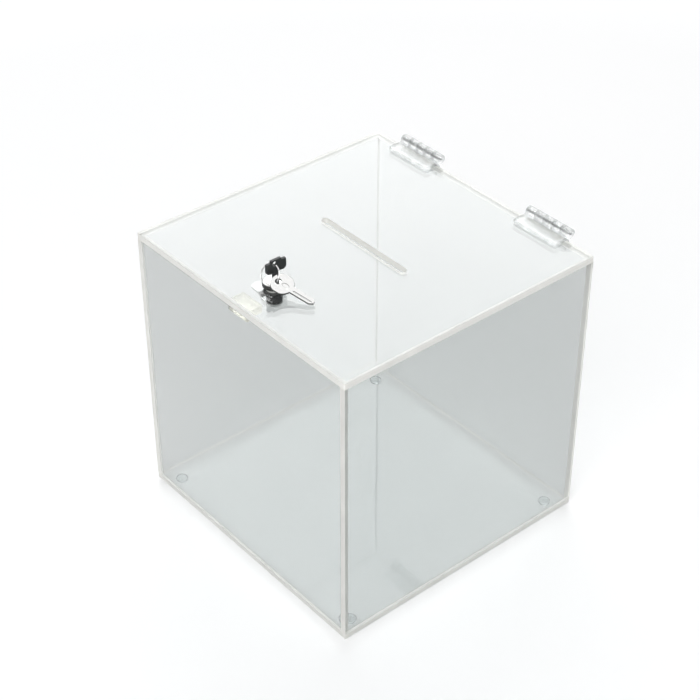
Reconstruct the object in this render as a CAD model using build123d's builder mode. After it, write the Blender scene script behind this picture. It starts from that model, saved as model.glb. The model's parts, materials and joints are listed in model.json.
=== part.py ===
from build123d import *
import math
import os

# Clear ballot box: a cube of glued acrylic sheet on four clear feet. The lid turns on two
# clear hinges along its rear edge and has a ballot slot and a cam lock. One key stands in
# the lock, and a wire ring through its head carries the spare key.
# Millimetres, +Z up, lock towards -Y, hinges towards +Y. The origin is the bottom centre of
# the box that holds the whole object. At rest the lid is closed and the cam stands clear of
# the strike, a quarter turn short of locked.

# Box of glued sheet
box_width = 250.0
box_depth = 246.0
box_height = 248.0
sheet = 5.0
edge_ease = 0.4
corner_ease = 1.2

# Clear round feet under the base
foot_diameter = 10.0
foot_height = 3.0
foot_inset = 16.5
foot_round = 1.8

# Ballot slot in the lid
slot_length = 97.0
slot_width = 6.0

# Clear hinges with steel pins, their ends this far in from the sides
hinge_inset = 28.5
hinge_length = 46.0
barrel_diameter = 8.0
barrel_clearance = 0.2
leaf_thickness = 3.0
leaf_reach = 17.4
leaf_corner = 1.5
leaf_ease = 0.5
leaf_gap = 0.5
knuckle_count = 5
knuckle_gap = 0.3
pin_diameter = 2.2
pin_clearance = 0.05
pin_ease = 0.3

# Strike block, cemented inside the front wall under the lid
strike_width = 23.0
strike_depth = 12.0
strike_height = 6.2
strike_gap = 0.3
strike_round = 1.5

# Housing of the cam lock, through the lid
lock_setback = 36.6
flange_diameter = 18.0
flange_height = 3.6
flange_bevel = 0.4
flange_foot = 1.0
barrel_width = 12.0
barrel_flats = 10.6
barrel_drop = 15.5
panel_clearance = 0.2
nut_flats = 14.0
nut_height = 4.5
nut_clearance = 0.05
nut_bevel = 0.5

# Bright bezel on the flange
bezel_diameter = 15.4
bezel_step_diameter = 13.4
bezel_height = 1.5
bezel_step = 0.7
bezel_ease = 0.2

# Plug that the key turns
plug_diameter = 9.4
plug_head_diameter = 10.6
plug_clearance = 0.06
plug_gap = 0.1
tail_width = 5.0
tail_short = 0.1

# Wafers in the plug, drawn flush by the key, and their springs
wafer_count = 5
wafer_first = 3.2
wafer_pitch = 2.2
wafer_thickness = 0.8
wafer_width = 4.0
wafer_height = 8.3
wafer_clearance = 0.1
wafer_lug_reach = 1.4
wafer_lug_height = 0.8
wafer_lug_place = 2.0
spring_diameter = 0.9
spring_length = 2.6
groove_depth = 0.6

# Cam under the lock: a flat hub, a crank up and an arm that goes under the strike
cam_thickness = 1.5
cam_hub_diameter = 13.0
cam_tip_width = 11.0
cam_overlap = 5.0
cam_play = 0.7
crank_start = 8.6
crank_run = 3.4
washer_diameter = 9.0
washer_thickness = 0.8
screw_head_diameter = 6.5
screw_head_height = 2.2
screw_head_round = 0.9
screw_slot_width = 1.1
screw_slot_depth = 1.1
screw_diameter = 3.0
screw_grip = 2.5
thread_clearance = 0.05

# Keys cut from one pattern
blade_width = 5.8
blade_thickness = 1.8
blade_length = 19.4
blade_point = 2.6
blade_point_share = 0.35
blade_clearance = 0.12
cut_half_width = 0.8
cut_depth = 1.5
cut_shares = (0.35, 0.8, 0.5, 1.0, 0.6)
keyway_spare = 0.4
mill_width = 1.2
mill_depth = 0.35
mill_place = 0.9
mill_margin = 1.6

# Plastic head of the key in the lock: two wings and a raised crown, behind the blade's centre
head_shift = 2.0
head_width = 18.2
wing_height = 9.0
wing_corner = 0.8
wing_round = 2.8
crown_width = 9.6
crown_rise = 1.9
crown_round = 0.9
head_thickness = 2.6
head_ease = 0.4
head_z_over_lid = 12.0
neck_shift = 1.6
neck_width = 5.4
neck_height = 6.6
root_shift = 1.2
root_width = 3.2
root_length = 10.0
eye_shift = 0.7
eye_diameter = 4.6
eye_wall = 1.0

# Wire ring, hanging in the head's eye and passing in front of the neck
ring_diameter = 16.6
wire_diameter = 1.2
ring_rest_gap = 1.0
ring_heading = 10.0
ring_lean = 32.0
ring_opening = 8.0
ring_opening_place = 200.0

# Spare key, on the ring with its point over the lid
spare_place = 15.0
spare_heading = 19.0
spare_lean = 16.0
spare_rest_gap = 0.3
spare_seat = 1.0
spare_eye_diameter = 5.2
bow_diameter = 18.0
bow_flats = 17.2
bow_centre = 3.5
bow_ease = 0.3
mark_length = 6.0
mark_width = 3.6
mark_depth = 0.25
mark_place = 6.4

# Extra length of every through cut
overrun = 1.0

# Heights
base_z = foot_height
wall_z = base_z + sheet
lid_top_z = base_z + box_height
lid_under_z = lid_top_z - sheet
wall_height = lid_under_z - wall_z

# Places front to back
barrel_radius = barrel_diameter / 2
hinge_offset = barrel_radius + barrel_clearance
rear_reach = hinge_offset + barrel_radius
body_y = -rear_reach / 2
front_y = body_y - box_depth / 2
rear_y = body_y + box_depth / 2
hinge_y = rear_y + hinge_offset
hinge_z = lid_top_z + hinge_offset
hinge_x = box_width / 2 - hinge_inset - hinge_length / 2

# Places in the lock
lock_y = front_y + lock_setback
flange_top_z = lid_top_z + flange_height
bezel_top_z = flange_top_z + bezel_height
plug_top_z = bezel_top_z - plug_gap
housing_end_z = lid_top_z - barrel_drop
hub_top_z = housing_end_z - plug_gap
hub_under_z = hub_top_z - cam_thickness
strike_z = lid_under_z - strike_gap - strike_height
arm_top_z = strike_z - cam_play
crank_rise = arm_top_z - hub_top_z
cam_reach = lock_setback - sheet - strike_depth + cam_overlap
barrel_wall = barrel_width / 2
bore_radius = plug_diameter / 2 + plug_clearance
spring_x = (wafer_width + wafer_lug_reach) / 2
lug_room_low = wafer_lug_place - spring_length
lug_room_high = wafer_lug_place + wafer_lug_height + wafer_clearance

# Places of the key
head_y = lock_y + head_shift
head_under_z = lid_top_z + head_z_over_lid
crown_z = head_under_z + wing_height + crown_rise
neck_z = head_under_z - neck_height
tip_z = neck_z - blade_length
keyway_end_z = tip_z - keyway_spare
eye = Vector(0, lock_y + eye_shift, crown_z - eye_wall - eye_diameter / 2)
wafer_places = [plug_top_z - wafer_first - i * wafer_pitch for i in range(wafer_count)]

# Places of the ring and the spare key
ring_radius = ring_diameter / 2
wire_radius = wire_diameter / 2
ring_across = Vector(1, 0, 0).rotate(Axis.Z, ring_heading)
ring_down = Vector(0, 0, -1).rotate(Axis.X, -ring_lean).rotate(Axis.Z, ring_heading)
ring_top = eye + ring_down * (eye_diameter / 2 - wire_radius - ring_rest_gap)
ring_centre = ring_top + ring_down * ring_radius
ring_turn = Axis((0, 0, 0), ring_down.cross(ring_across))
spare_hang = ring_centre + ring_across.rotate(ring_turn, -spare_place) * ring_radius
bow_radius = bow_diameter / 2
spare_shoulder = bow_centre + math.sqrt(bow_radius**2 - (blade_width / 2) ** 2)
spare_reach = spare_seat + spare_shoulder + blade_length
lean_drop = blade_width / 2 * math.sin(math.radians(spare_lean))
spare_tip_z = lid_top_z + spare_rest_gap + blade_thickness / 2 + lean_drop
spare_dip = math.degrees(math.asin((spare_hang.Z - spare_tip_z) / spare_reach))


def finish(piece, label):
    """Names a finished piece and writes its file"""
    piece.part.label = label
    export_step(piece.part, "parts/" + label + ".step")


def flat_sheet(z):
    """A full-size sheet with eased edges, lying at a height"""
    with BuildPart() as panel:
        with BuildSketch(Plane.XY.offset(z)):
            with Locations((0, body_y)):
                RectangleRounded(box_width, box_depth, corner_ease)
        extrude(amount=sheet)
        levels = panel.edges().group_by(Axis.Z)
        chamfer(levels[0] + levels[-1], edge_ease)
    return panel.part


def upright_panel(label, width, depth, x, y):
    """A wall that stands on the base"""
    with BuildPart() as panel:
        with BuildSketch(Plane.XY.offset(wall_z)):
            with Locations((x, y)):
                Rectangle(width, depth)
        extrude(amount=wall_height)
    finish(panel, label)


def side_wall(label, side):
    """A side wall, over the ends of the front and rear walls, with its outer corners eased"""
    with BuildPart() as panel:
        with BuildSketch(Plane.XY.offset(wall_z)):
            with Locations((side * (box_width - sheet) / 2, body_y)):
                Rectangle(sheet, box_depth)
        extrude(amount=wall_height)
        outer = panel.edges().filter_by(Axis.Z).group_by(Axis.X)[-1 if side > 0 else 0]
        chamfer(outer, edge_ease)
    finish(panel, label)


def double_d(radius, across):
    """A circle with two flats, in the sketch in hand"""
    Circle(radius)
    Rectangle(across, 2 * radius, mode=Mode.INTERSECT)


def foot(label, x, y):
    """A clear domed foot with a flat to stand on"""
    with BuildPart() as pad:
        with BuildSketch(Plane.XY):
            with Locations((x, y)):
                Circle(foot_diameter / 2)
        extrude(amount=foot_height)
        fillet(pad.edges().group_by(Axis.Z)[0], foot_round)
    finish(pad, label)


def hinge_leaf(label, x, along, facing, first, corners):
    """One leaf of a hinge: a plate from the barrel along a face, and every second knuckle"""
    plate_start = barrel_radius + leaf_gap
    level = hinge_offset - leaf_thickness / 2
    pitch = hinge_length / knuckle_count
    with BuildPart() as leaf:
        centre = Plane(origin=(x, hinge_y, hinge_z), x_dir=along, z_dir=facing)
        with BuildSketch(centre):
            with Locations(((plate_start + leaf_reach) / 2, level)):
                Rectangle(leaf_reach - plate_start, leaf_thickness)
        extrude(amount=hinge_length / 2, both=True)
        across, end = corners
        free = leaf.edges().filter_by(across).group_by(end)[0]
        fillet(free, leaf_corner)
        outer = leaf.faces().sort_by(across)[-1]
        chamfer(outer.edges(), leaf_ease)
        for i in range(first, knuckle_count, 2):
            place = (i + 0.5) * pitch - hinge_length / 2
            origin = (x + place, hinge_y, hinge_z)
            with BuildSketch(Plane(origin=origin, x_dir=along, z_dir=facing)):
                Circle(barrel_radius)
                with Locations(((plate_start + leaf_ease) / 2, level)):
                    Rectangle(plate_start + leaf_ease, leaf_thickness)
            extrude(amount=(pitch - knuckle_gap) / 2, both=True)
        with BuildSketch(centre):
            Circle(pin_diameter / 2 + pin_clearance)
        extrude(amount=hinge_length / 2 + overrun, both=True, mode=Mode.SUBTRACT)
    finish(leaf, label)


def hinge_pin(label, x):
    """The steel pin through a hinge's knuckles"""
    with BuildPart() as pin:
        with BuildSketch(Plane(origin=(x, hinge_y, hinge_z), z_dir=(1, 0, 0))):
            Circle(pin_diameter / 2)
        extrude(amount=hinge_length / 2, both=True)
        chamfer(pin.edges().filter_by(GeomType.CIRCLE), pin_ease)
    finish(pin, label)


def blade_points(start, lap):
    """Outline of a key's blade along +X, cut on the +Y edge, from its shoulder less a lap"""
    half = blade_width / 2
    end = start + blade_length
    points = [
        (start - lap, -half),
        (end - blade_point, -half),
        (end, -half * blade_point_share),
        (end, half * blade_point_share),
        (end - blade_point, half),
    ]
    for place, share in zip(reversed(wafer_places), reversed(cut_shares)):
        cut = end - (place - tip_z)
        points.append((cut + cut_half_width, half))
        points.append((cut, half - share * cut_depth))
        points.append((cut - cut_half_width, half))
    points.append((start - lap, half))
    return points


def mill_blade(plane, start):
    """A milled groove along each face of the blade in hand, from its shoulder at a start"""
    length = blade_length - 2 * mill_margin
    for face in (-1, 1):
        with BuildSketch(plane.offset(face * (blade_thickness / 2 - mill_depth))) as groove:
            with Locations((start + blade_length / 2, -mill_place)):
                SlotOverall(length, mill_width)
        extrude(groove.sketch, amount=face * mill_depth, mode=Mode.SUBTRACT)


os.makedirs("parts", exist_ok=True)

# Base and walls
with BuildPart() as base_panel:
    add(flat_sheet(base_z))
finish(base_panel, "base_panel")

inner_width = box_width - 2 * sheet
upright_panel("front_wall", inner_width, sheet, 0, front_y + sheet / 2)
upright_panel("rear_wall", inner_width, sheet, 0, rear_y - sheet / 2)
side_wall("left_wall", -1)
side_wall("right_wall", 1)

# Feet, in from each corner
for side, x in (("left", -1), ("right", 1)):
    for end, y in (("front", -1), ("rear", 1)):
        foot_x = x * (box_width / 2 - foot_inset)
        foot_y = body_y + y * (box_depth / 2 - foot_inset)
        foot("foot_" + end + "_" + side, foot_x, foot_y)

# Strike block, its free corners rounded
with BuildPart() as strike_block:
    with BuildSketch(Plane.XY.offset(strike_z)):
        with Locations((0, front_y + sheet + strike_depth / 2)):
            Rectangle(strike_width, strike_depth)
    extrude(amount=strike_height)
    fillet(strike_block.edges().filter_by(Axis.Z).group_by(Axis.Y)[-1], strike_round)
finish(strike_block, "strike_block")

# Lid, with the ballot slot and the double-D hole for the lock
with BuildPart() as lid_panel:
    add(flat_sheet(lid_under_z))
    with BuildSketch(Plane.XY.offset(lid_under_z)):
        with Locations((0, body_y)):
            SlotOverall(slot_length, slot_width)
    extrude(amount=sheet, mode=Mode.SUBTRACT)
    with BuildSketch(Plane.XY.offset(lid_under_z)):
        with Locations((0, lock_y)):
            double_d(barrel_wall + panel_clearance, barrel_flats + 2 * panel_clearance)
    extrude(amount=sheet, mode=Mode.SUBTRACT)
finish(lid_panel, "lid_panel")

# Hinges: a leaf on the lid, a leaf behind the rear wall and a pin each
for side, x in (("left", -hinge_x), ("right", hinge_x)):
    lid_leaf = side + "_hinge_lid_leaf"
    wall_leaf = side + "_hinge_wall_leaf"
    hinge_leaf(lid_leaf, x, (0, -1, 0), (1, 0, 0), 0, (Axis.Z, Axis.Y))
    hinge_leaf(wall_leaf, x, (0, 0, -1), (-1, 0, 0), 1, (Axis.Y, Axis.Z))
    hinge_pin(side + "_hinge_pin", x)

# Lock housing: a bevelled flange on the lid and a flatted barrel through it
with BuildPart() as lock_housing:
    with BuildSketch(Plane.XY.offset(lid_top_z)):
        with Locations((0, lock_y)):
            Circle(flange_diameter / 2)
    extrude(amount=flange_height)
    chamfer(lock_housing.edges().group_by(Axis.Z)[-1], flange_bevel)
    chamfer(lock_housing.edges().group_by(Axis.Z)[0], flange_foot)
    with BuildSketch(Plane.XY.offset(housing_end_z)):
        with Locations((0, lock_y)):
            double_d(barrel_wall, barrel_flats)
    extrude(amount=barrel_drop)
    with BuildSketch(Plane.XY.offset(housing_end_z)):
        with Locations((0, lock_y)):
            Circle(bore_radius)
    extrude(amount=barrel_drop + flange_height, mode=Mode.SUBTRACT)
    groove_length = wafer_places[0] - wafer_places[-1] + 2 * wafer_thickness
    with BuildSketch(Plane.XY.offset(wafer_places[-1] - wafer_thickness)):
        with Locations((0, lock_y)):
            Rectangle(wafer_width + wafer_clearance, 2 * (bore_radius + groove_depth))
    extrude(amount=groove_length, mode=Mode.SUBTRACT)
finish(lock_housing, "lock_housing")

# Bright stepped bezel around the plug's face
with BuildPart() as lock_bezel:
    with BuildSketch(Plane.XY.offset(flange_top_z)):
        with Locations((0, lock_y)):
            Circle(bezel_diameter / 2)
    extrude(amount=bezel_step)
    with BuildSketch(Plane.XY.offset(flange_top_z)):
        with Locations((0, lock_y)):
            Circle(bezel_step_diameter / 2)
    extrude(amount=bezel_height)
    rims = lock_bezel.edges().filter_by(GeomType.CIRCLE).group_by(Axis.Z)[-1]
    fillet(rims, bezel_ease)
    with BuildSketch(Plane.XY.offset(flange_top_z)):
        with Locations((0, lock_y)):
            Circle(plug_head_diameter / 2 + plug_clearance)
    extrude(amount=bezel_height, mode=Mode.SUBTRACT)
finish(lock_bezel, "lock_bezel")

# Nut that clamps the housing to the lid from below
with BuildPart() as lock_nut:
    with BuildSketch(Plane.XY.offset(lid_under_z - nut_height)):
        with Locations((0, lock_y)):
            RegularPolygon(nut_flats / 2, 6, major_radius=False)
    extrude(amount=nut_height)
    chamfer(lock_nut.edges().group_by(Axis.Z)[0], nut_bevel)
    with BuildSketch(Plane.XY.offset(lid_under_z - nut_height)):
        with Locations((0, lock_y)):
            Circle(barrel_wall + nut_clearance)
    extrude(amount=nut_height, mode=Mode.SUBTRACT)
finish(lock_nut, "lock_nut")

# Plug: a head in the bezel, a keyed body and a square tail for the cam
with BuildPart() as lock_plug:
    with BuildSketch(Plane.XY.offset(hub_top_z)):
        with Locations((0, lock_y)):
            Circle(plug_diameter / 2)
    extrude(amount=plug_top_z - hub_top_z)
    with BuildSketch(Plane.XY.offset(flange_top_z + plug_gap)):
        with Locations((0, lock_y)):
            Circle(plug_head_diameter / 2)
    extrude(amount=plug_top_z - flange_top_z - plug_gap)
    with BuildSketch(Plane.XY.offset(hub_under_z + tail_short)):
        with Locations((0, lock_y)):
            Rectangle(tail_width, tail_width)
    extrude(amount=cam_thickness - tail_short)
    with BuildSketch(Plane.XY.offset(keyway_end_z)):
        with Locations((0, lock_y)):
            Rectangle(blade_thickness + 2 * blade_clearance, blade_width + 2 * blade_clearance)
    extrude(amount=plug_top_z - keyway_end_z, mode=Mode.SUBTRACT)
    for place in wafer_places:
        with BuildSketch(Plane.XY.offset(place - wafer_thickness / 2 - wafer_clearance)):
            with Locations((0, lock_y)):
                Rectangle(wafer_width + 2 * wafer_clearance, plug_diameter)
            with Locations((spring_x, lock_y + (lug_room_low + lug_room_high) / 2)):
                lug_room = wafer_lug_reach + 2 * wafer_clearance
                Rectangle(lug_room, lug_room_high - lug_room_low)
        extrude(amount=wafer_thickness + 2 * wafer_clearance, mode=Mode.SUBTRACT)
    with BuildSketch(Plane.XY.offset(hub_under_z)):
        with Locations((0, lock_y)):
            Circle(screw_diameter / 2 + thread_clearance)
    extrude(amount=screw_grip + thread_clearance, mode=Mode.SUBTRACT)
finish(lock_plug, "lock_plug")

# Wafers, each a window round the blade with a lug that its spring pushes
with BuildPart() as lock_wafers:
    for place in wafer_places:
        with BuildSketch(Plane.XY.offset(place - wafer_thickness / 2)):
            with Locations((0, lock_y)):
                Rectangle(wafer_width, wafer_height)
                Rectangle(
                    blade_thickness + 2 * blade_clearance,
                    blade_width + 2 * blade_clearance,
                    mode=Mode.SUBTRACT,
                )
            lug_y = lock_y + wafer_lug_place + wafer_lug_height / 2
            with Locations((spring_x, lug_y)):
                Rectangle(wafer_lug_reach, wafer_lug_height)
        extrude(amount=wafer_thickness)
finish(lock_wafers, "lock_wafers")

# Wafer springs, one closed cylinder each of the coil's outer size, from the lug to the plug
with BuildPart() as wafer_springs:
    for place in wafer_places:
        origin = (spring_x, lock_y + lug_room_low, place)
        with BuildSketch(Plane(origin=origin, z_dir=(0, 1, 0))):
            Circle(spring_diameter / 2)
        extrude(amount=spring_length)
finish(wafer_springs, "wafer_springs")

# Cam, pointing to -X at rest: the side view of the crank, trimmed to the plan
with BuildPart() as lock_cam:
    hub_radius = cam_hub_diameter / 2
    crank_end = crank_start + crank_run
    with BuildSketch(Plane(origin=(0, lock_y, hub_under_z), x_dir=(-1, 0, 0), z_dir=(0, 1, 0))):
        with BuildLine():
            Polyline(
                (-hub_radius, 0),
                (crank_start, 0),
                (crank_end, crank_rise),
                (cam_reach, crank_rise),
                (cam_reach, crank_rise + cam_thickness),
                (crank_end, crank_rise + cam_thickness),
                (crank_start, cam_thickness),
                (-hub_radius, cam_thickness),
                close=True,
            )
        make_face()
    extrude(amount=hub_radius, both=True)
    with BuildSketch(Plane.XY.offset(hub_under_z)):
        tip_x = -cam_reach + cam_tip_width / 2
        with Locations((0, lock_y)):
            Circle(hub_radius)
        with Locations((tip_x, lock_y)):
            Circle(cam_tip_width / 2)
        with BuildLine():
            Polyline(
                (0, lock_y - hub_radius),
                (0, lock_y + hub_radius),
                (tip_x, lock_y + cam_tip_width / 2),
                (tip_x, lock_y - cam_tip_width / 2),
                close=True,
            )
        make_face()
    extrude(amount=crank_rise + cam_thickness, mode=Mode.INTERSECT)
    with BuildSketch(Plane.XY.offset(hub_under_z)):
        with Locations((0, lock_y)):
            Rectangle(tail_width + 2 * plug_clearance, tail_width + 2 * plug_clearance)
    extrude(amount=cam_thickness, mode=Mode.SUBTRACT)
finish(lock_cam, "lock_cam")

# Washer and screw that hold the cam on the plug's tail
with BuildPart() as cam_washer:
    with BuildSketch(Plane.XY.offset(hub_under_z - washer_thickness)):
        with Locations((0, lock_y)):
            Circle(washer_diameter / 2)
            Circle(screw_diameter / 2 + plug_clearance, mode=Mode.SUBTRACT)
    extrude(amount=washer_thickness)
finish(cam_washer, "cam_washer")

with BuildPart() as cam_screw:
    screw_seat_z = hub_under_z - washer_thickness
    screw_under_z = screw_seat_z - screw_head_height
    with BuildSketch(Plane.XY.offset(screw_under_z)):
        with Locations((0, lock_y)):
            Circle(screw_head_diameter / 2)
    extrude(amount=screw_head_height)
    fillet(cam_screw.edges().group_by(Axis.Z)[0], screw_head_round)
    with BuildSketch(Plane.XY.offset(screw_seat_z)):
        with Locations((0, lock_y)):
            Circle(screw_diameter / 2)
    extrude(amount=washer_thickness + screw_grip)
    with BuildSketch(Plane.XY.offset(screw_under_z)):
        with Locations((0, lock_y)):
            Rectangle(screw_head_diameter, screw_slot_width)
    extrude(amount=screw_slot_depth, mode=Mode.SUBTRACT)
finish(cam_screw, "cam_screw")

# Blade of the key in the lock, its root inside the plastic head
with BuildPart() as key_blade:
    key_plane = Plane(origin=(0, lock_y, neck_z), x_dir=(0, 0, -1), z_dir=(1, 0, 0))
    with BuildSketch(key_plane):
        with BuildLine():
            Polyline(*blade_points(0, 0), close=True)
        make_face()
        with Locations((-root_length / 2, root_shift)):
            Rectangle(root_length, root_width)
    extrude(amount=blade_thickness / 2, both=True)
    mill_blade(key_plane, 0)
finish(key_blade, "key_blade")

# Plastic head, moulded over the root, with an eye for the ring
with BuildPart() as key_head:
    with BuildSketch(Plane.YZ) as head_outline:
        with Locations((head_y, head_under_z + wing_height / 2)):
            Rectangle(head_width, wing_height)
        rows = head_outline.vertices().group_by(Axis.Y)
        fillet(rows[0], wing_round)
        rows = head_outline.vertices().group_by(Axis.Y)
        fillet(rows[-1], wing_corner)
        with Locations((head_y, crown_z - crown_rise)):
            Rectangle(crown_width, 2 * crown_rise)
        fillet(head_outline.vertices().group_by(Axis.Y)[-1], crown_round)
        with Locations((lock_y + neck_shift, neck_z + neck_height)):
            Rectangle(neck_width, 2 * neck_height)
    extrude(amount=head_thickness / 2, both=True)
    fillet(key_head.faces().filter_by(Axis.X).edges(), head_ease)
    with BuildSketch(Plane.YZ):
        with Locations((eye.Y, eye.Z)):
            Circle(eye_diameter / 2)
    extrude(amount=head_thickness, both=True, mode=Mode.SUBTRACT)
    with BuildSketch(Plane.XY.offset(neck_z)):
        with Locations((0, lock_y + root_shift)):
            Rectangle(blade_thickness, root_width)
    extrude(amount=root_length, mode=Mode.SUBTRACT)
finish(key_head, "key_head")

# Wire ring, bent round to a small opening
with BuildPart() as key_ring:
    start = ring_across.rotate(ring_turn, ring_opening_place)
    run = start.cross(ring_turn.direction)
    with BuildSketch(Plane(origin=ring_centre + start * ring_radius, x_dir=start, z_dir=run)):
        Circle(wire_radius)
    revolve(axis=Axis(ring_centre, ring_turn.direction), revolution_arc=360 - ring_opening)
finish(key_ring, "key_ring")

# Spare key: a flatted round bow with an eye and a plain oval mark, and the same blade
spare_along = Vector(1, 0, 0).rotate(Axis.Y, spare_dip).rotate(Axis.Z, spare_heading)
spare_up = Vector(0, 0, 1).rotate(Axis.X, spare_lean).rotate(Axis.Y, spare_dip)
spare_face = spare_up.rotate(Axis.Z, spare_heading)
spare_eye = spare_hang + spare_along * spare_seat
spare_plane = Plane(origin=spare_eye, x_dir=spare_along, z_dir=spare_face)
with BuildPart() as spare_key:
    with BuildSketch(spare_plane):
        with Locations((bow_centre, 0)):
            Circle(bow_radius)
            Rectangle(bow_diameter, bow_flats, mode=Mode.INTERSECT)
    extrude(amount=blade_thickness / 2, both=True)
    chamfer(spare_key.edges(), bow_ease)
    with BuildSketch(spare_plane):
        with BuildLine():
            Polyline(*blade_points(spare_shoulder, bow_ease), close=True)
        make_face()
    extrude(amount=blade_thickness / 2, both=True)
    mill_blade(spare_plane, spare_shoulder)
    with BuildSketch(spare_plane):
        Circle(spare_eye_diameter / 2)
    extrude(amount=blade_thickness, both=True, mode=Mode.SUBTRACT)
    for face in (-1, 1):
        mark_level = face * (blade_thickness / 2 - mark_depth)
        with BuildSketch(spare_plane.offset(mark_level)):
            with Locations((mark_place, 0)):
                Ellipse(mark_length / 2, mark_width / 2)
        extrude(amount=face * mark_depth, mode=Mode.SUBTRACT)
finish(spare_key, "spare_key")
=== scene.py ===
import json
import math

import bmesh
import bpy
from mathutils import Matrix, Vector


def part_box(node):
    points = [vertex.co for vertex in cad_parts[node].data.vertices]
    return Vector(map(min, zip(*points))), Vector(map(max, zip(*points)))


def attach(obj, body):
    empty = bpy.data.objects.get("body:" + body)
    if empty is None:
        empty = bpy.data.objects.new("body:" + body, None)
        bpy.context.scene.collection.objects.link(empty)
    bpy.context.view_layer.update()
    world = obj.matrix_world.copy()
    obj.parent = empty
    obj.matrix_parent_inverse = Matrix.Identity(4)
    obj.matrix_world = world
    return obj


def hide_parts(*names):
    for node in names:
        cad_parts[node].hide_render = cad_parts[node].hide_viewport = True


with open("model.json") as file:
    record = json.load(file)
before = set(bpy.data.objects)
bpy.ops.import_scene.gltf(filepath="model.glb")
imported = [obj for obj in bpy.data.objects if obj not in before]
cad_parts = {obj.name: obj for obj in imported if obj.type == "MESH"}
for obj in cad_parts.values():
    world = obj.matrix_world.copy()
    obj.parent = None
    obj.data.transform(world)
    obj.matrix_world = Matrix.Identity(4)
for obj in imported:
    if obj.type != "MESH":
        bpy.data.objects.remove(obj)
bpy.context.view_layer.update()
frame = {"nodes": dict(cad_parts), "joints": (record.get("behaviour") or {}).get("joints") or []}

bl_info = {
    "name": "Clear Ballot Box",
    "version": (1, 0, 0),
    "blender": (4, 5, 0),
    "location": "View3D > Sidebar > Ballot Box",
    "description": "Dresses a clear ballot box with a hinged lid, a cam lock and two keys",
    "category": "Object",
}

SHEETS = ("base_panel", "front_wall", "rear_wall", "left_wall", "right_wall")
LEAVES = (
    "left_hinge_lid_leaf",
    "left_hinge_wall_leaf",
    "right_hinge_lid_leaf",
    "right_hinge_wall_leaf",
)
PINS = ("left_hinge_pin", "right_hinge_pin")
FEET = ("foot_front_left", "foot_front_right", "foot_rear_left", "foot_rear_right")

# How a flat plate is turned when its thickness lies along X, Y or Z
UPRIGHT = Matrix.Rotation(math.radians(90), 4, "X")
PLATE_TURNS = (Matrix.Rotation(math.radians(90), 4, "Z") @ UPRIGHT, UPRIGHT, Matrix.Identity(4))

# Shapes, with lengths in metres
CORNER_RADIUS = 0.0012
SLOT_END = 0.498  # radius of the slot's ends, as a share of its width
HOLE_POINTS = 64
ARC_STEPS = 6
SLOT_ARC_STEPS = 10
EASE_STEPS = 2
EASE_ANGLE = math.radians(35)
COIL_STEPS = 40
WIRE_SIDES = 8

# Corners nearer than this are one, in metres
PLATE_MERGE = 0.000001
COIL_MERGE = 0.0000001
CAD_MERGE = 0.000002

# Least share of a normal along the thickness, for a sheet's two faces
FACE_SHARE = 0.9

# Shares of the fine grain in a metal's pattern, and of the keys' colour in its darker flecks
FINE_SHARE = 0.6
KEY_SHADE = 0.93

# Half the floor's side in metres, and its divisions
FLOOR_REACH = 6.0
FLOOR_CELLS = 8

# Cosines of the angle to the dark side's middle, where the dark starts and is full
DARK_START = 0.7
DARK_FULL = 0.9


# Materials


def add_node(tree, kind, sockets=None, **settings):
    """Adds a node with its settings; a socket is given a value, or joined to another node's"""
    node = tree.nodes.new(kind)
    for name, value in settings.items():
        setattr(node, name, value)
    for name, value in (sockets or {}).items():
        if isinstance(value, bpy.types.NodeSocket):
            tree.links.new(value, node.inputs[name])
        else:
            node.inputs[name].default_value = value
    return node


class Nodes:
    """A new material's node tree, with short calls that add and join nodes"""

    def __init__(self, name):
        self.material = bpy.data.materials.new(name)
        self.material.use_nodes = True
        self.tree = self.material.node_tree
        self.tree.nodes.clear()

    def add(self, kind, sockets=None, **settings):
        return add_node(self.tree, kind, sockets, **settings)

    def math(self, operation, *values):
        return self.add("ShaderNodeMath", dict(enumerate(values)), operation=operation).outputs[0]

    def place(self, scale=(1, 1, 1), turn=(0, 0, 0)):
        """Object coordinates, turned and scaled"""
        coordinates = self.add("ShaderNodeTexCoord").outputs["Object"]
        return self.add(
            "ShaderNodeMapping",
            {"Vector": coordinates, "Scale": scale, "Rotation": turn},
        ).outputs[0]

    def noise(self, scale, detail=2.0, roughness=0.5, vector=None):
        return self.add(
            "ShaderNodeTexNoise",
            {
                "Vector": vector or self.place(),
                "Scale": scale,
                "Detail": detail,
                "Roughness": roughness,
            },
        ).outputs["Fac"]

    def ramp(self, value, low, high, start, end):
        """A value that runs from start to end, as one from low to high"""
        return self.add(
            "ShaderNodeMapRange",
            {"Value": value, "From Min": start, "From Max": end, "To Min": low, "To Max": high},
        ).outputs[0]

    def blend(self, share, first, second):
        """Two colours blended, with a share of the second; each is a colour or a socket"""
        first, second = (
            colour if isinstance(colour, bpy.types.NodeSocket) else (*colour, 1.0)
            for colour in (first, second)
        )
        return self.add(
            "ShaderNodeMix",
            {"Factor": share, "A": first, "B": second},
            data_type="RGBA",
        ).outputs["Result"]

    def bump(self, height, strength, distance):
        return self.add(
            "ShaderNodeBump",
            {"Height": height, "Strength": strength, "Distance": distance},
        ).outputs[0]

    def mix(self, share, first, second):
        """Two shaders mixed, with a share of the second"""
        return self.add(
            "ShaderNodeMixShader",
            {0: share, 1: first.outputs[0], 2: second.outputs[0]},
        )

    def surface(self, shader):
        """The material, with this shader as its surface"""
        self.add("ShaderNodeOutputMaterial", {"Surface": shader.outputs[0]})
        return self.material


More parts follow.
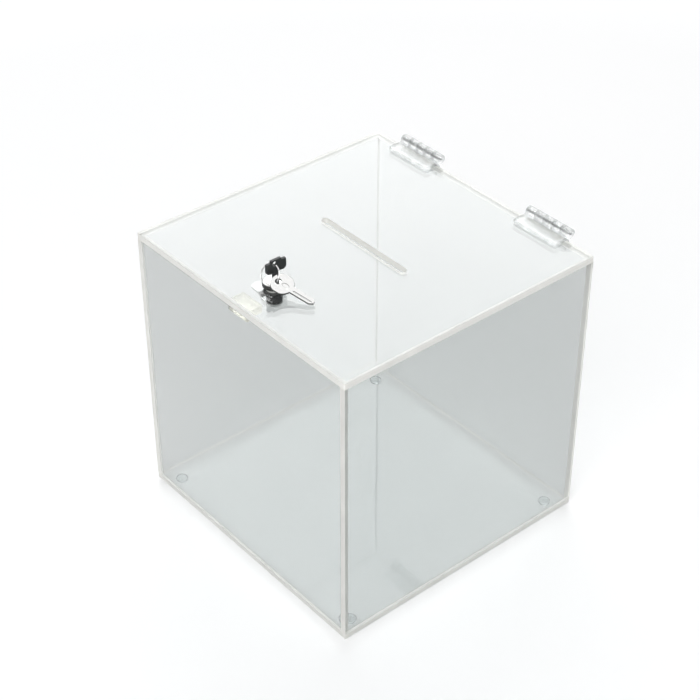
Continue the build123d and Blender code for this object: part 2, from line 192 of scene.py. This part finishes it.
def clear_plastic(
    name, tint, lamp_tint, rough, index=1.49, wave=0.0002, wear=0.006, straight=0.0
):
    """Clear plastic, faintly uneven, with hairline handling marks.

    Lamps, and the straight share of the view, go through it unbent.
    """
    nodes = Nodes(name)
    sway = nodes.noise(scale=14.0, detail=1.0)
    drawn_out = nodes.place(scale=(1.0, 0.04, 1.0), turn=(0.3, 0.2, 0.5))
    marks = nodes.noise(scale=160.0, detail=2.0, roughness=0.6, vector=drawn_out)
    shader = nodes.add(
        "ShaderNodeBsdfPrincipled",
        {
            "Base Color": (*tint, 1.0),
            "Roughness": nodes.ramp(marks, rough, rough + wear, start=0.6, end=0.8),
            "IOR": index,
            "Transmission Weight": 1.0,
            "Normal": nodes.bump(sway, strength=0.25, distance=wave),
        },
    )
    unbent = nodes.add("ShaderNodeBsdfTransparent", {"Color": (*lamp_tint, 1.0)})
    path = nodes.add("ShaderNodeLightPath")
    share = nodes.math("MAXIMUM", path.outputs["Is Shadow Ray"], straight)
    return nodes.surface(nodes.mix(share, shader, unbent))


def cut_edge(name, tint, shade=0.94, index=1.49, glow=0.38):
    """Polished edge of clear sheet: milky and warm, and lit from within"""
    nodes = Nodes(name)
    streaks = nodes.noise(scale=40.0)
    share = nodes.ramp(streaks, 0, 1, start=0.35, end=0.65)
    colour = nodes.blend(share, tint, [shade * part for part in tint])
    shader = nodes.add(
        "ShaderNodeBsdfPrincipled",
        {
            "Base Color": colour,
            "Roughness": nodes.ramp(streaks, 0.12, 0.25, start=0.3, end=0.7),
            "IOR": index,
        },
    )
    through = nodes.add("ShaderNodeBsdfTranslucent", {"Color": colour})
    return nodes.surface(nodes.mix(glow, shader, through))


def metal(nodes, colour, grain, low, high, bump):
    """Metal's surface: its gloss follows the grain, from low to high roughness"""
    shader = nodes.add(
        "ShaderNodeBsdfPrincipled",
        {
            "Base Color": colour,
            "Metallic": 1.0,
            "Roughness": nodes.ramp(grain, low, high, start=0.3, end=0.7),
            "Normal": bump,
        },
    )
    return nodes.surface(shader)


def plated_metal(
    name, colour, shade, rough, spread=0.08, grain=700.0, stretch=(1, 1, 1), depth=0.00002
):
    """Metal with fine tool marks: colour and gloss vary with the grain"""
    nodes = Nodes(name)
    fine = nodes.noise(grain, detail=4.0, roughness=0.6, vector=nodes.place(scale=stretch))
    broad = nodes.noise(scale=90.0)
    patches = nodes.math("MULTIPLY", broad, 1 - FINE_SHARE)
    both = nodes.math("MULTIPLY_ADD", fine, FINE_SHARE, patches)
    mottled = nodes.blend(nodes.ramp(both, 0, 1, start=0.3, end=0.7), shade, colour)
    bump = nodes.bump(fine, strength=0.3, distance=depth)
    return metal(nodes, mottled, both, rough, rough + spread, bump)


def cut_key(
    name,
    colour,
    shade,
    painted_side_shade,
    flat,
    rough=0.1,
    spread=0.08,
    grain=900.0,
    depth=0.00002,
    groove=0.0009,
):
    """A key's plated metal: bright flat faces, with a painted dark reflection on the cut sides and
    painted shade in the grooves
    """
    nodes = Nodes(name)
    fine = nodes.noise(grain, detail=4.0, roughness=0.6)
    # Painted dark reflection: sides turned away from the flat faces take the near-black side
    # colour
    normal = nodes.add("ShaderNodeTexCoord").outputs["Normal"]
    facing = nodes.add("ShaderNodeVectorMath", {0: normal, 1: flat}, operation="DOT_PRODUCT")
    along = nodes.math("ABSOLUTE", facing.outputs["Value"])
    plain = nodes.ramp(along, 0, 1, start=0.7, end=0.95)
    # Painted shade: ambient occlusion darkens the grooves and the oval mark
    opening = nodes.add("ShaderNodeAmbientOcclusion", {"Distance": groove}, samples=8)
    groove_unshaded = nodes.ramp(opening.outputs["AO"], 0, 1, start=0.55, end=0.92)
    face = nodes.blend(nodes.ramp(fine, 0, 1, start=0.3, end=0.7), shade, colour)
    # The face colour, with the painted dark reflection on the sides and the painted shade in the
    # grooves
    painted_shade_colour = nodes.blend(nodes.math("MULTIPLY", plain, groove_unshaded), painted_side_shade, face)
    bump = nodes.bump(fine, strength=0.3, distance=depth)
    return metal(nodes, painted_shade_colour, fine, rough, rough + spread, bump)


def coated(name, colour, shade, rough, spread=0.12, grain=2600.0, depth=0.00001, gloss=0.5):
    """Black coating or moulded plastic with a fine texture"""
    nodes = Nodes(name)
    fine = nodes.noise(grain, detail=3.0, roughness=0.6)
    broad = nodes.noise(scale=120.0)
    mottled = nodes.blend(nodes.ramp(broad, 0, 1, start=0.35, end=0.7), shade, colour)
    shader = nodes.add(
        "ShaderNodeBsdfPrincipled",
        {
            "Base Color": mottled,
            "Roughness": nodes.ramp(fine, rough, rough + spread, start=0.3, end=0.7),
            "Specular IOR Level": gloss,
            "Normal": nodes.bump(fine, strength=0.5, distance=depth),
        },
    )
    return nodes.surface(shader)


# Making pieces


def joint_place(name):
    """Where the frame has the joint of that name"""
    joint = next(joint for joint in frame["joints"] if joint["name"] == name)
    return Vector(joint["pos_m"])


def new_piece(name, mesh, body, nodes):
    """A finished mesh as a piece that rides on a body and stands for CAD nodes"""
    piece = bpy.data.objects.new(name, mesh)
    bpy.context.scene.collection.objects.link(piece)
    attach(piece, body)
    if nodes:
        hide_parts(*nodes)
    return piece


def plain_mesh(maker):
    """The plain mesh of a curve or modifier object, which is then removed"""
    bpy.context.scene.collection.objects.link(maker)
    depsgraph = bpy.context.evaluated_depsgraph_get()
    mesh = bpy.data.meshes.new_from_object(maker.evaluated_get(depsgraph))
    mesh.name = maker.name
    bpy.data.objects.remove(maker)
    return mesh


def plate_mesh(name, loops, thickness, ease, place):
    """A flat plate with rounded edges, turned to its place.

    The first loop of points is its outline, and the others are holes.
    """
    curve = bpy.data.curves.new(name, "CURVE")
    curve.dimensions = "2D"
    curve.fill_mode = "BOTH"
    curve.extrude = thickness / 2 - ease
    curve.bevel_depth = ease
    curve.bevel_resolution = EASE_STEPS
    curve.offset = -ease
    for loop in loops:
        spline = curve.splines.new("POLY")
        spline.points.add(len(loop) - 1)
        for point, (x, y) in zip(spline.points, loop):
            point.co = (x, y, 0, 1)
        spline.use_cyclic_u = True
    mesh = plain_mesh(bpy.data.objects.new(name, curve))
    bpy.data.curves.remove(curve)
    work = bmesh.new()
    work.from_mesh(mesh)
    bmesh.ops.remove_doubles(work, verts=work.verts, dist=PLATE_MERGE)
    work.transform(place)
    bmesh.ops.recalc_face_normals(work, faces=work.faces)
    if work.calc_volume(signed=True) < 0:
        bmesh.ops.reverse_faces(work, faces=work.faces)
    work.to_mesh(mesh)
    work.free()
    return mesh


def rectangle(width, depth, radius=0.0, steps=ARC_STEPS):
    """Corner points of a rectangle about the middle, its corners rounded"""
    points = []
    for x, y, start in ((1, 1, 0), (-1, 1, 90), (-1, -1, 180), (1, -1, 270)):
        corner = Vector((x * (width / 2 - radius), y * (depth / 2 - radius)))
        for i in range(steps + 1 if radius else 1):
            angle = math.radians(start + 90 * i / steps)
            points.append(corner + radius * Vector((math.cos(angle), math.sin(angle))))
    return points


def flatted_circle(middle, width, flats):
    """Points of a circle cut off at two flats, left and right"""
    points = []
    for i in range(HOLE_POINTS):
        angle = 2 * math.pi * i / HOLE_POINTS
        x = max(-flats / 2, min(flats / 2, width / 2 * math.cos(angle)))
        points.append(Vector((x, middle + width / 2 * math.sin(angle))))
    return points


def paint_edges(mesh, axis, faces, edges):
    """Gives the sheet's two faces one material and its cut edges another"""
    mesh.materials.clear()
    mesh.materials.append(faces)
    mesh.materials.append(edges)
    for polygon in mesh.polygons:
        polygon.material_index = 0 if abs(polygon.normal[axis]) > FACE_SHARE else 1
        polygon.use_smooth = False


def coil_tree(name, material):
    """A Geometry Nodes tree for a wire wound along Z, or a thread's ridge.

    It stays inside two flats, and is repeated in a row.
    """
    tree = bpy.data.node_groups.new(name, "GeometryNodeTree")
    tree.interface.new_socket("Geometry", in_out="OUTPUT", socket_type="NodeSocketGeometry")
    for label in ("Radius", "Wire", "Height", "Turns", "Flats", "Step"):
        tree.interface.new_socket(label, in_out="INPUT", socket_type="NodeSocketFloat")
    tree.interface.new_socket("Count", in_out="INPUT", socket_type="NodeSocketInt")
    given = add_node(tree, "NodeGroupInput").outputs

    def add(kind, sockets=None, **settings):
        return add_node(tree, kind, sockets, **settings).outputs

    helix = add(
        "GeometryNodeCurveSpiral",
        {
            "Resolution": COIL_STEPS,
            "Rotations": given["Turns"],
            "Start Radius": given["Radius"],
            "End Radius": given["Radius"],
            "Height": given["Height"],
        },
    )
    place = add("ShaderNodeSeparateXYZ", {0: add("GeometryNodeInputPosition")[0]})
    low = add("ShaderNodeMath", {0: given["Flats"], 1: -1.0}, operation="MULTIPLY")
    inside = add("ShaderNodeClamp", {"Value": place["X"], "Min": low[0], "Max": given["Flats"]})
    moved = add("ShaderNodeCombineXYZ", {"X": inside[0], "Y": place["Y"], "Z": place["Z"]})
    kept = add("GeometryNodeSetPosition", {"Geometry": helix[0], "Position": moved[0]})
    section = add(
        "GeometryNodeCurvePrimitiveCircle",
        {"Resolution": WIRE_SIDES, "Radius": given["Wire"]},
    )
    wire = add(
        "GeometryNodeCurveToMesh",
        {"Curve": kept[0], "Profile Curve": section[0], "Fill Caps": True},
    )
    step = add("ShaderNodeCombineXYZ", {"Y": given["Step"]})
    row = add("GeometryNodeMeshLine", {"Count": given["Count"], "Offset": step[0]})
    each = add("GeometryNodeInstanceOnPoints", {"Points": row[0], "Instance": wire[0]})
    solid = add("GeometryNodeRealizeInstances", {"Geometry": each[0]})
    dressed = add("GeometryNodeSetMaterial", {"Geometry": solid[0], "Material": material})
    add("NodeGroupOutput", {0: dressed[0]})
    return tree


def grown(name, tree, values, place):
    """The mesh that a tree makes from the values given by name, moved to its place"""
    holder = bpy.data.objects.new(name, bpy.data.meshes.new(name + "_start"))
    modifier = holder.modifiers.new("grown", "NODES")
    modifier.node_group = tree
    for item in tree.interface.items_tree:
        if item.in_out == "INPUT":
            modifier[item.identifier] = values[item.name]
    mesh = plain_mesh(holder)
    work = bmesh.new()
    work.from_mesh(mesh)
    bmesh.ops.remove_doubles(work, verts=work.verts, dist=COIL_MERGE)
    bmesh.ops.recalc_face_normals(work, faces=work.faces)
    work.transform(place)
    work.to_mesh(mesh)
    work.free()
    for polygon in mesh.polygons:
        polygon.use_smooth = True
    return mesh


def dress(node, material, ease=0.0, shrink=0.0):
    """Gives a CAD node its material, and joins, draws in and rounds its mesh with modifiers"""
    piece = frame["nodes"][node]
    piece.data.materials.clear()
    piece.data.materials.append(material)
    weld = piece.modifiers.new("weld", "WELD")
    weld.merge_threshold = CAD_MERGE
    if shrink:
        draw = piece.modifiers.new("draw_in", "DISPLACE")
        draw.mid_level = 0.0
        draw.strength = -shrink
    if ease:
        bevel = piece.modifiers.new("ease", "BEVEL")
        bevel.width = ease
        bevel.segments = EASE_STEPS
        bevel.limit_method = "ANGLE"
        bevel.angle_limit = EASE_ANGLE
        bevel.harden_normals = False


# Settings


class BallotBoxSheets(bpy.types.PropertyGroup):
    seam: bpy.props.FloatProperty(
        name="Seam",
        description="Cement line left between two sheets",
        default=0.00004,
        unit="LENGTH",
        precision=6,
    )
    ease: bpy.props.FloatProperty(
        name="Ease",
        description="Rounding of the polished edges",
        default=0.0003,
        unit="LENGTH",
        precision=5,
    )
    tint: bpy.props.FloatVectorProperty(
        name="Tint",
        description="Colour that one sheet lets through",
        default=(0.742, 0.756, 0.753),
        subtype="COLOR",
    )
    edge_tint: bpy.props.FloatVectorProperty(
        name="Edge tint",
        description="Colour of the cut edges",
        default=(0.985, 0.975, 0.94),
        subtype="COLOR",
    )
    slot_length: bpy.props.FloatProperty(
        name="Slot length",
        description="Length of the ballot slot",
        default=0.097,
        unit="LENGTH",
    )
    slot_width: bpy.props.FloatProperty(
        name="Slot width",
        description="Width of the ballot slot",
        default=0.006,
        unit="LENGTH",
    )
    hole_width: bpy.props.FloatProperty(
        name="Lock hole",
        description="Diameter of the lock's hole in the lid",
        default=0.0124,
        unit="LENGTH",
    )
    hole_flats: bpy.props.FloatProperty(
        name="Lock hole flats",
        description="Distance between the hole's two flats",
        default=0.011,
        unit="LENGTH",
    )


class BallotBoxLock(bpy.types.PropertyGroup):
    barrel_width: bpy.props.FloatProperty(
        name="Barrel",
        description="Diameter of the threaded barrel",
        default=0.012,
        unit="LENGTH",
        precision=5,
    )
    barrel_flats: bpy.props.FloatProperty(
        name="Barrel flats",
        description="Distance between the barrel's flats",
        default=0.0106,
        unit="LENGTH",
        precision=5,
    )
    thread_pitch: bpy.props.FloatProperty(
        name="Thread pitch",
        description="Distance between the barrel's threads",
        default=0.0009,
        unit="LENGTH",
        precision=5,
    )
    thread_depth: bpy.props.FloatProperty(
        name="Thread depth",
        description="Height of the barrel's threads",
        default=0.00024,
        unit="LENGTH",
        precision=5,
    )
    coil_wire: bpy.props.FloatProperty(
        name="Coil wire",
        description="Wire diameter of a wafer spring",
        default=0.00014,
        unit="LENGTH",
        precision=5,
    )
    coil_turns: bpy.props.FloatProperty(
        name="Coil turns",
        description="Turns of a wafer spring",
        default=7.0,
    )
    wafers: bpy.props.IntProperty(
        name="Wafers",
        description="Number of wafers and their springs",
        default=5,
    )
    black: bpy.props.FloatVectorProperty(
        name="Black",
        description="Coating of the housing and nut",
        default=(0.012, 0.013, 0.013),
        subtype="COLOR",
    )


class BallotBoxKeys(bpy.types.PropertyGroup):
    bright: bpy.props.FloatVectorProperty(
        name="Bright",
        description="Plating on the keys' flat faces",
        default=(0.95, 0.95, 0.94),
        subtype="COLOR",
    )
    # Near-black colour painted on the keys' cut sides as a dark reflection
    painted_side_shade: bpy.props.FloatVectorProperty(
        name="Painted_shade_sides",
        description="Edges where the keys were cut out",
        default=(0.1, 0.1, 0.095),
        subtype="COLOR",
    )
    heading: bpy.props.FloatProperty(
        name="Spare's heading",
        description="Turn of the spare key on the lid",
        default=math.radians(19.0),
        subtype="ANGLE",
    )
    dip: bpy.props.FloatProperty(
        name="Spare's dip",
        description="Fall of the spare key to its point",
        default=math.radians(14.55),
        subtype="ANGLE",
    )
    lean: bpy.props.FloatProperty(
        name="Spare's lean",
        description="Lean of the spare key to its side",
        default=math.radians(16.0),
        subtype="ANGLE",
    )


class BallotBoxStage(bpy.types.PropertyGroup):
    floor_colour: bpy.props.FloatVectorProperty(
        name="Floor",
        description="Colour of the floor",
        default=(0.86, 0.865, 0.87),
        subtype="COLOR",
    )
    floor_lift: bpy.props.FloatProperty(
        name="Floor lift",
        description="Light that the floor adds for the camera, glass and mirrors",
        default=0.23,
    )
    far_lift: bpy.props.FloatProperty(
        name="Far floor lift",
        description="The same far from the box, where the lamps are weaker",
        default=0.62,
    )
    near: bpy.props.FloatProperty(
        name="Near floor",
        description="How far from the box the floor's lift starts to rise",
        default=0.9,
        unit="LENGTH",
    )
    far: bpy.props.FloatProperty(
        name="Far floor",
        description="How far from the box the floor's lift is full",
        default=3.0,
        unit="LENGTH",
    )
    sky: bpy.props.FloatProperty(
        name="Sky",
        description="Strength of the even light all round",
        default=0.39,
    )
    dark: bpy.props.FloatProperty(
        name="Dark side",
        description="Brightness of the unlit part of the studio in reflections",
        default=0.28,
    )
    dark_side: bpy.props.FloatVectorProperty(
        name="Dark side's way",
        description="Where the studio is unlit",
        default=(0.66, -0.55, 0.51),
        subtype="DIRECTION",
    )
    key_power: bpy.props.FloatProperty(
        name="Key power",
        description="Softbox behind on the left, in watts",
        default=80.0,
    )
    key_size: bpy.props.FloatProperty(
        name="Key size",
        description="Side of the softbox behind",
        default=3.15,
        unit="LENGTH",
    )
    key_place: bpy.props.FloatVectorProperty(
        name="Key place",
        description="Position of the softbox behind",
        default=(-2.6, 2.2, 3.5),
        subtype="TRANSLATION",
    )
    fill_power: bpy.props.FloatProperty(
        name="Fill power",
        description="Softbox in front, in watts",
        default=82.0,
    )
    fill_size: bpy.props.FloatProperty(
        name="Fill size",
        description="Side of the softbox in front",
        default=2.2,
        unit="LENGTH",
    )
    fill_place: bpy.props.FloatVectorProperty(
        name="Fill place",
        description="Position of the softbox in front",
        default=(1.7, -2.5, 2.8),
        subtype="TRANSLATION",
    )
    lamp_aim: bpy.props.FloatVectorProperty(
        name="Lamp aim",
        description="Point in the box that both softboxes face",
        default=(0.0, 0.0, 0.12),
        subtype="TRANSLATION",
    )
    camera_place: bpy.props.FloatVectorProperty(
        name="Camera",
        description="Camera position",
        default=(0.83033, -0.71538, 0.96415),
        subtype="TRANSLATION",
    )
    camera_elevation: bpy.props.FloatProperty(
        name="Elevation",
        description="Downward tilt of the view",
        default=math.radians(36.6613),
        subtype="ANGLE",
    )
    camera_azimuth: bpy.props.FloatProperty(
        name="Azimuth",
        description="Turn of the view from the front",
        default=math.radians(49.9466),
        subtype="ANGLE",
    )
    lens: bpy.props.FloatProperty(
        name="Lens",
        description="Focal length in millimetres",
        default=87.73,
    )


# Operators


class BALLOTBOX_OT_sheets(bpy.types.Operator):
    """Makes the base, walls, lid and strike block of clear sheet"""

    bl_idname = "ballotbox.sheets"
    bl_label = "Make sheets"

    def execute(self, context):
        sizes = context.scene.ballotbox_sheets
        face = clear_plastic(
            "clear_sheet", tint=sizes.tint, lamp_tint=(0.87, 0.885, 0.885), rough=0.0
        )
        edge = cut_edge("cut_edge", sizes.edge_tint)
        for node in SHEETS:
            self.sheet(node, "box", sizes, face, edge)
        self.sheet("lid_panel", "lid", sizes, face, edge, self.lid_holes(sizes))
        self.strike(sizes)
        return {"FINISHED"}

    def sheet(self, node, body, sizes, face, edge, holes=()):
        """One sheet in the place of its CAD node, less a seam all round"""
        low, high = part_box(node)
        size = high - low
        axis = min(range(3), key=lambda i: size[i])
        across, along = [i for i in range(3) if i != axis]
        lies_flat = axis == 2
        outline = rectangle(
            size[across] - 2 * sizes.seam,
            size[along] - 2 * sizes.seam,
            CORNER_RADIUS if lies_flat else 0.0,
        )
        place = Matrix.Translation((low + high) / 2) @ PLATE_TURNS[axis]
        mesh = plate_mesh(
            node + "_piece",
            [outline, *holes],
            size[axis] - 2 * sizes.seam,
            sizes.ease,
            place,
        )
        paint_edges(mesh, axis, face, edge)
        new_piece(node + "_piece", mesh, body, [node])

    def lid_holes(self, sizes):
        """The ballot slot and the lock's flatted hole, about the lid's middle"""
        low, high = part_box("lid_panel")
        slot = rectangle(
            sizes.slot_length, sizes.slot_width, SLOT_END * sizes.slot_width, SLOT_ARC_STEPS
        )
        middle = joint_place("lock_turn").y - ((low + high) / 2).y
        return slot, flatted_circle(middle, sizes.hole_width, sizes.hole_flats)

    def strike(self, sizes):
        """The block inside the front wall that the cam turns under"""
        low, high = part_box("strike_block")
        size = high - low
        outline = rectangle(size.x - 2 * sizes.seam, size.y - 2 * sizes.seam, CORNER_RADIUS)
        place = Matrix.Translation((low + high) / 2)
        mesh = plate_mesh("strike_block_piece", [outline], size.z, sizes.ease, place)
        block = clear_plastic(
            "strike_block_clear",
            tint=(0.97, 0.95, 0.84),
            lamp_tint=(0.95, 0.94, 0.86),
            rough=0.05,
            straight=0.3,
        )
        mesh.materials.append(block)
        new_piece("strike_block_piece", mesh, "box", ["strike_block"])


class BALLOTBOX_OT_hinges(bpy.types.Operator):
    """Finishes the clear hinge leaves and their steel pins"""

    bl_idname = "ballotbox.hinges"
    bl_label = "Finish hinges"

    def execute(self, context):
        clear = clear_plastic(
            "hinge_clear",
            tint=(0.95, 0.955, 0.95),
            lamp_tint=(0.93, 0.94, 0.94),
            rough=0.06,
            index=1.46,
            wear=0.05,
            straight=0.45,
        )
        steel = plated_metal(
            "pin_steel_drawn",
            colour=(0.42, 0.43, 0.43),
            shade=(0.3, 0.3, 0.3),
            rough=0.25,
            stretch=(0.1, 1, 1),
        )
        for node in LEAVES:
            dress(node, clear, shrink=0.00003)
        for node in PINS:
            dress(node, steel)
        return {"FINISHED"}


class BALLOTBOX_OT_feet(bpy.types.Operator):
    """Finishes the soft clear feet"""

    bl_idname = "ballotbox.feet"
    bl_label = "Finish feet"

    def execute(self, context):
        soft = clear_plastic(
            "foot_soft_clear",
            tint=(0.85, 0.88, 0.88),
            lamp_tint=(0.85, 0.87, 0.88),
            rough=0.18,
            index=1.45,
            wear=0.1,
        )
        for node in FEET:
            dress(node, soft, shrink=0.00002)
        return {"FINISHED"}


class BALLOTBOX_OT_lock(bpy.types.Operator):
    """Finishes the cam lock, with its threads and wafer springs"""

    bl_idname = "ballotbox.lock"
    bl_label = "Finish lock"

    def execute(self, context):
        sizes = context.scene.ballotbox_lock
        black = coated(
            "lock_black", colour=sizes.black, shade=(0.02, 0.021, 0.021), rough=0.22, gloss=0.6
        )
        bright = plated_metal(
            "lock_bright",
            colour=(0.86, 0.86, 0.85),
            shade=(0.7, 0.7, 0.69),
            rough=0.06,
            grain=420.0,
        )
        brass = plated_metal(
            "wafer_stamped_brass", colour=(0.72, 0.56, 0.28), shade=(0.5, 0.36, 0.16), rough=0.22
        )
        zinc = plated_metal(
            "cam_zinc",
            colour=(0.6, 0.61, 0.6),
            shade=(0.42, 0.43, 0.44),
            rough=0.26,
            stretch=(0.2, 1, 1),
        )
        dress("lock_housing", black, ease=0.00015)
        dress("lock_nut", black, ease=0.0002)
        dress("lock_bezel", bright, ease=0.0001)
        dress("lock_plug", bright, ease=0.0001)
        dress("lock_wafers", brass, ease=0.00004)
        for node in ("lock_cam", "cam_washer", "cam_screw"):
            dress(node, zinc, ease=0.00012)
        self.threads(sizes, black)
        self.springs(sizes, zinc)
        return {"FINISHED"}

    def threads(self, sizes, black):
        """Thread on the barrel below the nut, cut off at its two flats"""
        barrel_low, nut_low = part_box("lock_housing")[0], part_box("lock_nut")[0]
        axis = joint_place("lock_turn")
        height = nut_low.z - barrel_low.z - 2 * sizes.thread_pitch
        values = {
            "Radius": sizes.barrel_width / 2,
            "Wire": sizes.thread_depth,
            "Height": height,
            "Turns": height / sizes.thread_pitch,
            "Flats": sizes.barrel_flats / 2 - 2 * sizes.thread_depth,
            "Step": 0.0,
            "Count": 1,
        }
        place = Matrix.Translation((axis.x, axis.y, barrel_low.z + sizes.thread_pitch))
        mesh = grown("barrel_thread_piece", coil_tree("thread_maker", black), values, place)
        new_piece("barrel_thread_piece", mesh, "lid", [])

    def springs(self, sizes, zinc):
        """A wound spring for each wafer, in place of its plain cylinder"""
        low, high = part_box("wafer_springs")
        size = high - low
        values = {
            "Radius": size.x / 2 - sizes.coil_wire / 2,
            "Wire": sizes.coil_wire / 2,
            "Height": size.y - sizes.coil_wire,
            "Turns": sizes.coil_turns,
            "Flats": size.x,
            "Step": (size.z - size.x) / (sizes.wafers - 1),
            "Count": sizes.wafers,
        }
        start = ((low.x + high.x) / 2, low.y + sizes.coil_wire / 2, high.z - size.x / 2)
        place = Matrix.Translation(start) @ Matrix.Rotation(math.radians(-90), 4, "X")
        mesh = grown("wafer_coils_piece", coil_tree("coil_maker", zinc), values, place)
        new_piece("wafer_coils_piece", mesh, "lock_core", ["wafer_springs"])


class BALLOTBOX_OT_keys(bpy.types.Operator):
    """Finishes the key, its head, the ring and the spare key"""

    bl_idname = "ballotbox.keys"
    bl_label = "Finish keys"

    def execute(self, context):
        sizes = context.scene.ballotbox_keys
        turn = Matrix.Identity(3)
        for angle, axis in ((sizes.heading, "Z"), (sizes.dip, "Y"), (sizes.lean, "X")):
            turn = turn @ Matrix.Rotation(angle, 3, axis)
        # The third colour is the painted dark reflection for the keys' cut sides
        shades = (sizes.bright, [KEY_SHADE * part for part in sizes.bright], sizes.painted_side_shade)
        wire = plated_metal(
            "ring_wire_bright", colour=(0.88, 0.88, 0.87), shade=(0.72, 0.72, 0.72), rough=0.1
        )
        plastic = coated(
            "key_head_black", colour=(0.012, 0.014, 0.014), shade=(0.022, 0.026, 0.025), rough=0.34
        )
        dress("key_head", plastic, ease=0.0002)
        dress("key_blade", cut_key("key_in_lock", *shades, flat=(1, 0, 0)), ease=0.0001)
        dress("key_ring", wire)
        dress("spare_key", cut_key("key_on_ring", *shades, flat=turn.col[2]), ease=0.00012)
        return {"FINISHED"}


class BALLOTBOX_OT_stage(bpy.types.Operator):
    """Sets the floor, the lights and the camera"""

    bl_idname = "ballotbox.stage"
    bl_label = "Set stage"

    def execute(self, context):
        sizes = context.scene.ballotbox_stage
        self.floor(sizes)
        self.sky(context, sizes)
        self.softbox("key_softbox", sizes.key_place, sizes.key_size, sizes.key_power, sizes)
        self.softbox("fill_softbox", sizes.fill_place, sizes.fill_size, sizes.fill_power, sizes)
        camera = bpy.data.objects.new("camera", bpy.data.cameras.new("camera"))
        camera.data.lens = sizes.lens
        camera.location = sizes.camera_place
        camera.rotation_euler = (math.pi / 2 - sizes.camera_elevation, 0, sizes.camera_azimuth)
        context.scene.collection.objects.link(camera)
        context.scene.camera = camera
        context.scene.view_settings.view_transform = "Standard"
        return {"FINISHED"}

    def floor(self, sizes):
        """A pale floor that keeps its shadow and runs into the white background"""
        work = bmesh.new()
        bmesh.ops.create_grid(
            work, x_segments=FLOOR_CELLS, y_segments=FLOOR_CELLS, size=FLOOR_REACH
        )
        mesh = bpy.data.meshes.new("floor")
        work.to_mesh(mesh)
        work.free()
        piece = bpy.data.objects.new("floor", mesh)
        bpy.context.scene.collection.objects.link(piece)
        nodes = Nodes("floor_white")
        diffuse = nodes.add("ShaderNodeBsdfDiffuse", {"Color": (*sizes.floor_colour, 1.0)})
        path = nodes.add("ShaderNodeLightPath").outputs
        seen = nodes.math("MAXIMUM", path["Is Camera Ray"], path["Is Glossy Ray"])
        seen = nodes.math("MAXIMUM", seen, path["Is Transmission Ray"])
        away = nodes.add("ShaderNodeVectorMath", {0: nodes.place()}, operation="LENGTH")
        lift = nodes.ramp(
            away.outputs["Value"], sizes.floor_lift, sizes.far_lift, sizes.near, sizes.far
        )
        glow = nodes.add("ShaderNodeEmission", {"Strength": nodes.math("MULTIPLY", seen, lift)})
        both = nodes.add("ShaderNodeAddShader", {0: diffuse.outputs[0], 1: glow.outputs[0]})
        mesh.materials.append(nodes.surface(both))

    def sky(self, context, sizes):
        """Even light all round: white to the camera, and darker on one side in reflections"""
        world = bpy.data.worlds.new("studio")
        context.scene.world = world
        world.use_nodes = True
        tree = world.node_tree
        tree.nodes.clear()

        def add(kind, sockets=None, **settings):
            return add_node(tree, kind, sockets, **settings).outputs

        path = add("ShaderNodeLightPath")
        straight = add(
            "ShaderNodeMath",
            {0: path["Is Camera Ray"], 1: path["Is Transmission Ray"]},
            operation="MAXIMUM",
        )
        way = add("ShaderNodeTexCoord")["Generated"]
        aside = add(
            "ShaderNodeVectorMath", {0: way, 1: sizes.dark_side}, operation="DOT_PRODUCT"
        )
        room = add(
            "ShaderNodeMapRange",
            {
                "Value": aside["Value"],
                "From Min": DARK_START,
                "From Max": DARK_FULL,
                "To Min": 1.0,
                "To Max": sizes.dark,
            },
        )
        even = add(
            "ShaderNodeMix",
            {"Factor": straight[0], "A": sizes.sky, "B": 1.0},
            data_type="FLOAT",
        )
        strength = add(
            "ShaderNodeMix",
            {"Factor": path["Is Glossy Ray"], "A": even[0], "B": room[0]},
            data_type="FLOAT",
        )
        white = add("ShaderNodeBackground", {"Color": (1, 1, 1, 1), "Strength": strength[0]})
        add("ShaderNodeOutputWorld", {"Surface": white[0]})

    def softbox(self, name, place, size, power, sizes):
        """A square lamp of one name, place, size and power, turned to the box"""
        lamp = bpy.data.lights.new(name, "AREA")
        lamp.shape = "SQUARE"
        lamp.size = size
        lamp.energy = power
        box = bpy.data.objects.new(name, lamp)
        box.location = place
        way = Vector(sizes.lamp_aim) - box.location
        box.rotation_euler = way.to_track_quat("-Z", "Y").to_euler()
        bpy.context.scene.collection.objects.link(box)


class BALLOTBOX_PT_panel(bpy.types.Panel):
    """Lists the ballot box's pieces and settings"""

    bl_label = "Ballot Box"
    bl_idname = "BALLOTBOX_PT_panel"
    bl_space_type = "VIEW_3D"
    bl_region_type = "UI"
    bl_category = "Ballot Box"

    def draw(self, context):
        for operator in OPERATORS:
            self.layout.operator(operator.bl_idname)
        for name, kind in SETTINGS.items():
            group = getattr(context.scene, name)
            for setting in kind.__annotations__:
                self.layout.prop(group, setting)


SETTINGS = {
    "ballotbox_sheets": BallotBoxSheets,
    "ballotbox_lock": BallotBoxLock,
    "ballotbox_keys": BallotBoxKeys,
    "ballotbox_stage": BallotBoxStage,
}
OPERATORS = (
    BALLOTBOX_OT_sheets,
    BALLOTBOX_OT_hinges,
    BALLOTBOX_OT_feet,
    BALLOTBOX_OT_lock,
    BALLOTBOX_OT_keys,
    BALLOTBOX_OT_stage,
)


def register():
    for name, kind in SETTINGS.items():
        bpy.utils.register_class(kind)
        setattr(bpy.types.Scene, name, bpy.props.PointerProperty(type=kind))
    for kind in (*OPERATORS, BALLOTBOX_PT_panel):
        bpy.utils.register_class(kind)


def unregister():
    for kind in (BALLOTBOX_PT_panel, *reversed(OPERATORS)):
        bpy.utils.unregister_class(kind)
    for name, kind in reversed(SETTINGS.items()):
        delattr(bpy.types.Scene, name)
        bpy.utils.unregister_class(kind)


def main():
    register()
    bpy.ops.ballotbox.sheets()
    bpy.ops.ballotbox.hinges()
    bpy.ops.ballotbox.feet()
    bpy.ops.ballotbox.lock()
    bpy.ops.ballotbox.keys()
    bpy.ops.ballotbox.stage()


if __name__ == "__main__":
    main()
